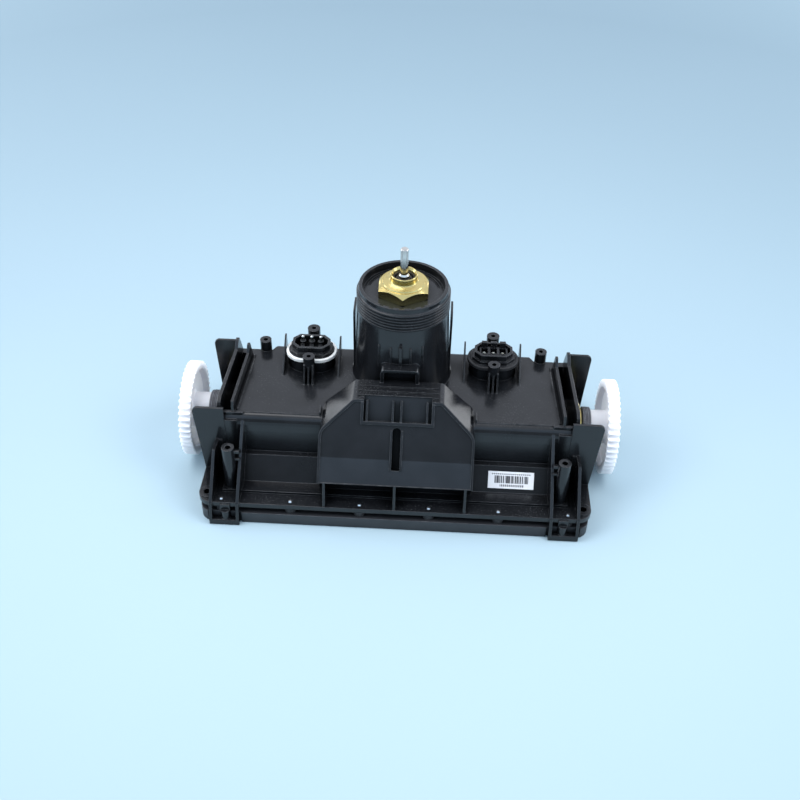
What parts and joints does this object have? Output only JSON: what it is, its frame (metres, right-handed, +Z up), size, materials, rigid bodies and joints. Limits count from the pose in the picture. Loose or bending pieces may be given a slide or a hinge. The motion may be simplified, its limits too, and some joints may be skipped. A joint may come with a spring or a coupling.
{
  "type": "pool cleaner motor block",
  "caption": "Sealed black block with a threaded pump turret, steel shaft, toothed drive wheels at both ends, sockets on top and a gasketed lower cover.",
  "frame": {"origin": "on the pump shaft's axis, in the plane that the block rests on", "axes": "+Z up along the pump shaft; +X right along the drive axis; +Y towards the back"},
  "size_m": [0.33, 0.1645, 0.1772],
  "materials": {
    "housing_plastic": "black glass-filled plastic, satin gloss",
    "cover_plastic": "black moulded plastic, satin",
    "connector_plastic": "black moulded plastic",
    "inner_plastic": "dark grey engineering plastic",
    "board_part_plastic": "moulded electronic parts",
    "board": "green solder mask on glass laminate",
    "gasket_rubber": "black sealing rubber",
    "seal_rubber": "black lip seal rubber",
    "light_gasket": "light grey silicone rubber",
    "brass": "turned brass, bright",
    "bronze": "sintered bronze",
    "copper": "enamelled copper",
    "contact_metal": "plated contacts",
    "steel": "stainless steel",
    "shaft_steel": "ground stainless steel",
    "gear_steel": "machined steel",
    "motor_steel": "drawn steel can, zinc plated",
    "core_steel": "stacked electrical steel",
    "magnet": "ferrite magnet",
    "carbon": "carbon brush",
    "sleeve_plastic": "dark grey threaded plastic",
    "wheel_plastic": "white acetal",
    "sticker_paper": "white printed film"
  },
  "bodies": {
    "root": {"upper_housing": "housing_plastic", "lower_cover": "cover_plastic", "cover_gasket": "gasket_rubber", "cover_screws": "steel", "identification_sticker": "sticker_paper", "pump_seal_carrier": "brass", "pump_carrier_o_ring": "gasket_rubber", "pump_lip_seal": "seal_rubber", "pump_motor_can": "motor_steel", "pump_motor_magnets": "magnet", "pump_motor_end_cap": "inner_plastic", "pump_motor_bearings": "steel", "pump_motor_brushes": "carbon", "drive_lip_seals": "seal_rubber", "drive_shaft_bushes": "bronze", "gearbox_covers": "inner_plastic", "layshaft_pins": "steel", "drive_motor_magnets": "magnet", "drive_motor_end_caps": "inner_plastic", "drive_motor_bushes": "bronze", "drive_motor_brushes": "carbon", "connector_left": "connector_plastic", "connector_pins_left": "contact_metal", "connector_gasket_left": "light_gasket", "connector_right": "connector_plastic", "connector_sockets_right": "contact_metal", "connector_gasket_right": "gasket_rubber", "control_board": "board", "board_components": "board_part_plastic", "board_screws": "steel", "drive_carrier_left": "brass", "drive_carrier_right": "brass", "gearbox_case_left": "inner_plastic", "gearbox_case_right": "inner_plastic", "drive_motor_can_left": "motor_steel", "drive_motor_can_right": "motor_steel"},
    "pump_rotor": {"pump_shaft": "shaft_steel", "pump_armature_core": "core_steel", "pump_armature_windings": "copper", "pump_commutator": "copper"},
    "drive_output_left": {"output_shaft_left": "shaft_steel", "output_gear_left": "gear_steel", "drive_sleeve_left": "sleeve_plastic", "drive_wheel_left": "wheel_plastic", "wheel_nut_left": "steel"},
    "layshaft_left": {"layshaft_gear_left": "gear_steel"},
    "drive_armature_left": {"drive_motor_shaft_left": "shaft_steel", "drive_armature_core_left": "core_steel", "drive_windings_left": "copper"},
    "drive_output_right": {"output_shaft_right": "shaft_steel", "output_gear_right": "gear_steel", "drive_sleeve_right": "sleeve_plastic", "drive_wheel_right": "wheel_plastic", "wheel_nut_right": "steel"},
    "layshaft_right": {"layshaft_gear_right": "gear_steel"},
    "drive_armature_right": {"drive_motor_shaft_right": "shaft_steel", "drive_armature_core_right": "core_steel", "drive_windings_right": "copper"}
  },
  "joints": [
    {"name": "pump_shaft_spin", "type": "hinge", "parent": "root", "child": "pump_rotor", "pos_m": [0, 0, 0.1], "axis": [0, 0, 1], "continuous": true},
    {"name": "drive_output_spin_left", "type": "hinge", "parent": "root", "child": "drive_output_left", "pos_m": [-0.13, -0.0222, 0.038], "axis": [1, 0, 0], "continuous": true},
    {"name": "layshaft_spin_left", "type": "hinge", "parent": "root", "child": "layshaft_left", "pos_m": [-0.0964, -0.0222, 0.0236], "axis": [1, 0, 0], "continuous": true},
    {"name": "drive_motor_spin_left", "type": "hinge", "parent": "root", "child": "drive_armature_left", "pos_m": [-0.0584, -0.0222, 0.038], "axis": [1, 0, 0], "continuous": true},
    {"name": "drive_output_spin_right", "type": "hinge", "parent": "root", "child": "drive_output_right", "pos_m": [0.13, -0.0222, 0.038], "axis": [1, 0, 0], "continuous": true},
    {"name": "layshaft_spin_right", "type": "hinge", "parent": "root", "child": "layshaft_right", "pos_m": [0.0964, -0.0222, 0.0236], "axis": [1, 0, 0], "continuous": true},
    {"name": "drive_motor_spin_right", "type": "hinge", "parent": "root", "child": "drive_armature_right", "pos_m": [0.0584, -0.0222, 0.038], "axis": [1, 0, 0], "continuous": true}
  ],
  "couplings": [
    {"joint": "layshaft_spin_left", "follows": "drive_output_spin_left", "ratio": -3},
    {"joint": "drive_motor_spin_left", "follows": "drive_output_spin_left", "ratio": 9},
    {"joint": "layshaft_spin_right", "follows": "drive_output_spin_right", "ratio": -3},
    {"joint": "drive_motor_spin_right", "follows": "drive_output_spin_right", "ratio": 9}
  ]
}
